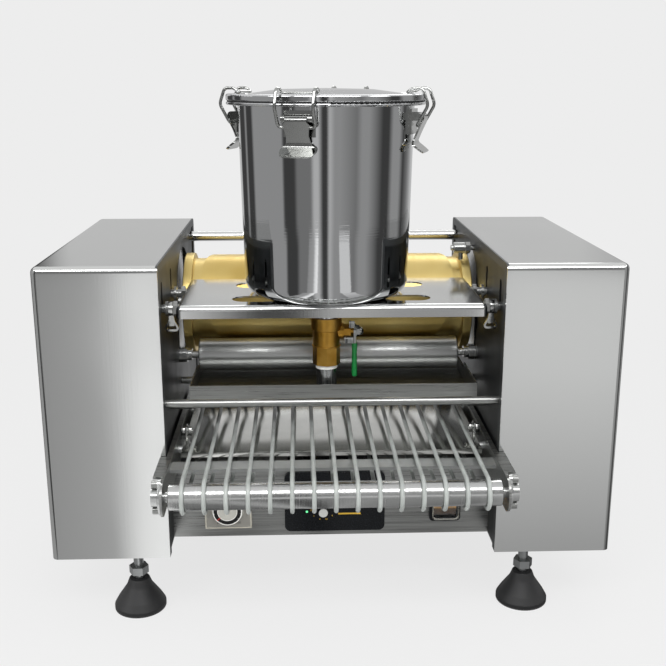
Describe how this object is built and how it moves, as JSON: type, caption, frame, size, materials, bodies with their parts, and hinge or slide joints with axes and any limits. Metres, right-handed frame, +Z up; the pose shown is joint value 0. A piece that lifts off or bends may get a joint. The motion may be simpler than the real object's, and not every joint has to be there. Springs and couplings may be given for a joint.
{
  "type": "crepe sheet machine",
  "caption": "Benchtop crepe sheet maker: heated drum fed by a roller from a batter tray under a latched bucket, with a round-belt conveyor between two steel housings.",
  "frame": {"origin": "on the floor under the middle of the bounding box", "axes": "+X along the drum to the right seen from the front, +Y to the rear, +Z up"},
  "size_m": [0.55, 0.3975, 0.5175],
  "materials": {
    "polished_steel": "polished stainless sheet",
    "brushed_steel": "brushed stainless",
    "machined_steel": "turned steel",
    "aluminium": "satin",
    "drum_brass": "turned and polished",
    "valve_brass": "cast and plated",
    "heater": "heat stained",
    "motor_paint": "satin",
    "black_plastic": "moulded",
    "grey_plastic": "moulded",
    "dial_plastic": "moulded",
    "rocker_plastic": "lit from behind",
    "belt_rubber": "pale polyurethane",
    "seal_rubber": "silicone",
    "foot_rubber": "moulded pad on a steel screw",
    "grip_plastic": "dipped"
  },
  "bodies": {
    "housing": {"left_cover": "polished_steel", "right_cover": "polished_steel", "left_side_plate": "polished_steel", "right_side_plate": "polished_steel", "rear_crossbar": "polished_steel", "front_tie_rod": "polished_steel", "batter_tray": "polished_steel", "control_panel": "brushed_steel", "bed_plate": "brushed_steel", "conveyor_arms": "brushed_steel", "conveyor_braces": "brushed_steel", "floor_plates": "brushed_steel", "motor_bench": "brushed_steel", "frame_fasteners": "brushed_steel", "temperature_probe": "brushed_steel", "feed_bearings": "machined_steel", "flange_bearings": "machined_steel", "drive_chains": "machined_steel", "drum_heater": "heater", "gear_motor": "motor_paint", "speed_controller": "black_plastic", "rocker_frame": "black_plastic", "control_blocks": "black_plastic", "thermostat_case": "grey_plastic", "round_belts": "belt_rubber"},
    "drum": {"drum_shell": "drum_brass", "drum_ends": "machined_steel", "drum_wheels": "machined_steel"},
    "feed": {"feed_roller": "aluminium", "feed_wheels": "machined_steel"},
    "nose_roller": {"front_roller": "machined_steel"},
    "tail_roller": {"rear_roller": "machined_steel"},
    "motor_output": {"motor_wheel": "machined_steel"},
    "shelf": {"bucket_shelf": "polished_steel", "shelf_posts": "brushed_steel", "bucket": "polished_steel", "lid_gasket": "seal_rubber", "bucket_lid": "polished_steel", "latch_bases": "polished_steel", "valve_body": "valve_brass", "valve_nozzle": "polished_steel"},
    "valve_handle": {"valve_lever": "machined_steel", "lever_grip": "grip_plastic"},
    "left_clamp": {"left_clamp_lever": "brushed_steel"},
    "right_clamp": {"right_clamp_lever": "brushed_steel"},
    "dial": {"thermostat_dial": "dial_plastic"},
    "knob": {"speed_knob": "black_plastic"},
    "rocker": {"rocker_switch": "rocker_plastic"},
    "latch_1_handle": {"latch_1_lever": "polished_steel"},
    "latch_1_wire": {"latch_1_bail": "polished_steel"},
    "latch_2_handle": {"latch_2_lever": "polished_steel"},
    "latch_2_wire": {"latch_2_bail": "polished_steel"},
    "latch_3_handle": {"latch_3_lever": "polished_steel"},
    "latch_3_wire": {"latch_3_bail": "polished_steel"},
    "latch_4_handle": {"latch_4_lever": "polished_steel"},
    "latch_4_wire": {"latch_4_bail": "polished_steel"},
    "foot_front_left_body": {"foot_front_left": "foot_rubber"},
    "foot_rear_left_body": {"foot_rear_left": "foot_rubber"},
    "foot_front_right_body": {"foot_front_right": "foot_rubber"},
    "foot_rear_right_body": {"foot_rear_right": "foot_rubber"}
  },
  "joints": [
    {"name": "drum_spin", "type": "hinge", "parent": "housing", "child": "drum", "pos_m": [0, 0.08375, 0.28], "axis": [1, 0, 0], "continuous": true},
    {"name": "feed_roller_spin", "type": "hinge", "parent": "housing", "child": "feed", "pos_m": [0, 0.02442, 0.23578], "axis": [1, 0, 0], "continuous": true},
    {"name": "front_roller_spin", "type": "hinge", "parent": "housing", "child": "nose_roller", "pos_m": [0, -0.18225, 0.162], "axis": [1, 0, 0], "continuous": true},
    {"name": "rear_roller_spin", "type": "hinge", "parent": "housing", "child": "tail_roller", "pos_m": [0, 0.09375, 0.162], "axis": [1, 0, 0], "continuous": true},
    {"name": "motor_spin", "type": "hinge", "parent": "housing", "child": "motor_output", "pos_m": [0, 0.07875, 0.18], "axis": [1, 0, 0], "continuous": true},
    {"name": "shelf_lift", "type": "slide", "parent": "housing", "child": "shelf", "axis": [0, 0, 1], "range_m": [0, 0.022]},
    {"name": "valve_turn", "type": "hinge", "parent": "shelf", "child": "valve_handle", "pos_m": [0, -0.03825, 0.277], "axis": [1, 0, 0], "range_deg": [-90, 0]},
    {"name": "latch_1_swing", "type": "hinge", "parent": "shelf", "child": "latch_1_handle", "pos_m": [-0.03197, -0.1259, 0.4905], "axis": [-0.9527, 0.304, 0], "range_deg": [0, 90]},
    {"name": "latch_1_bail_swing", "type": "hinge", "parent": "latch_1_handle", "child": "latch_1_wire", "pos_m": [-0.03191, -0.1257, 0.483], "axis": [-0.9527, 0.304, 0], "range_deg": [-135, 0]},
    {"name": "latch_2_swing", "type": "hinge", "parent": "shelf", "child": "latch_2_handle", "pos_m": [0.08364, -0.06622, 0.4905], "axis": [-0.304, -0.9527, 0], "range_deg": [0, 90]},
    {"name": "latch_2_bail_swing", "type": "hinge", "parent": "latch_2_handle", "child": "latch_2_wire", "pos_m": [0.08345, -0.06616, 0.483], "axis": [-0.304, -0.9527, 0], "range_deg": [-135, 0]},
    {"name": "latch_3_swing", "type": "hinge", "parent": "shelf", "child": "latch_3_handle", "pos_m": [0.02397, 0.0494, 0.4905], "axis": [0.9527, -0.304, 0], "range_deg": [0, 90]},
    {"name": "latch_3_bail_swing", "type": "hinge", "parent": "latch_3_handle", "child": "latch_3_wire", "pos_m": [0.02391, 0.0492, 0.483], "axis": [0.9527, -0.304, 0], "range_deg": [-135, 0]},
    {"name": "latch_4_swing", "type": "hinge", "parent": "shelf", "child": "latch_4_handle", "pos_m": [-0.09165, -0.01028, 0.4905], "axis": [0.304, 0.9527, 0], "range_deg": [0, 90]},
    {"name": "latch_4_bail_swing", "type": "hinge", "parent": "latch_4_handle", "child": "latch_4_wire", "pos_m": [-0.09145, -0.01034, 0.483], "axis": [0.304, 0.9527, 0], "range_deg": [-135, 0]},
    {"name": "left_clamp_swing", "type": "hinge", "parent": "shelf", "child": "left_clamp", "pos_m": [-0.1532, -0.08725, 0.313], "axis": [1, 0, 0], "range_deg": [-100, 0]},
    {"name": "right_clamp_swing", "type": "hinge", "parent": "shelf", "child": "right_clamp", "pos_m": [0.1532, -0.08725, 0.313], "axis": [1, 0, 0], "range_deg": [-100, 0]},
    {"name": "thermostat_turn", "type": "hinge", "parent": "housing", "child": "dial", "pos_m": [-0.1055, -0.08025, 0.104], "axis": [0, 1, 0], "range_deg": [0, 300]},
    {"name": "speed_turn", "type": "hinge", "parent": "housing", "child": "knob", "pos_m": [-0.009, -0.08025, 0.101], "axis": [0, 1, 0], "range_deg": [0, 270]},
    {"name": "rocker_tilt", "type": "hinge", "parent": "housing", "child": "rocker", "pos_m": [0.116, -0.07525, 0.099], "axis": [1, 0, 0], "range_deg": [-14, 0]},
    {"name": "foot_front_left_turn", "type": "hinge", "parent": "housing", "child": "foot_front_left_body", "pos_m": [-0.197, -0.08925, 0.07], "axis": [0, 0, 1], "continuous": true},
    {"name": "foot_rear_left_turn", "type": "hinge", "parent": "housing", "child": "foot_rear_left_body", "pos_m": [-0.197, 0.16675, 0.07], "axis": [0, 0, 1], "continuous": true},
    {"name": "foot_front_right_turn", "type": "hinge", "parent": "housing", "child": "foot_front_right_body", "pos_m": [0.197, -0.08925, 0.07], "axis": [0, 0, 1], "continuous": true},
    {"name": "foot_rear_right_turn", "type": "hinge", "parent": "housing", "child": "foot_rear_right_body", "pos_m": [0.197, 0.16675, 0.07], "axis": [0, 0, 1], "continuous": true}
  ],
  "couplings": [
    {"joint": "feed_roller_spin", "follows": "drum_spin", "ratio": -3.1111},
    {"joint": "motor_spin", "follows": "drum_spin", "ratio": 2},
    {"joint": "rear_roller_spin", "follows": "drum_spin", "ratio": -4.2424},
    {"joint": "front_roller_spin", "follows": "drum_spin", "ratio": -4.2424},
    {"joint": "latch_1_bail_swing", "follows": "latch_1_swing", "ratio": -1.5},
    {"joint": "latch_2_bail_swing", "follows": "latch_2_swing", "ratio": -1.5},
    {"joint": "latch_3_bail_swing", "follows": "latch_3_swing", "ratio": -1.5},
    {"joint": "latch_4_bail_swing", "follows": "latch_4_swing", "ratio": -1.5}
  ]
}
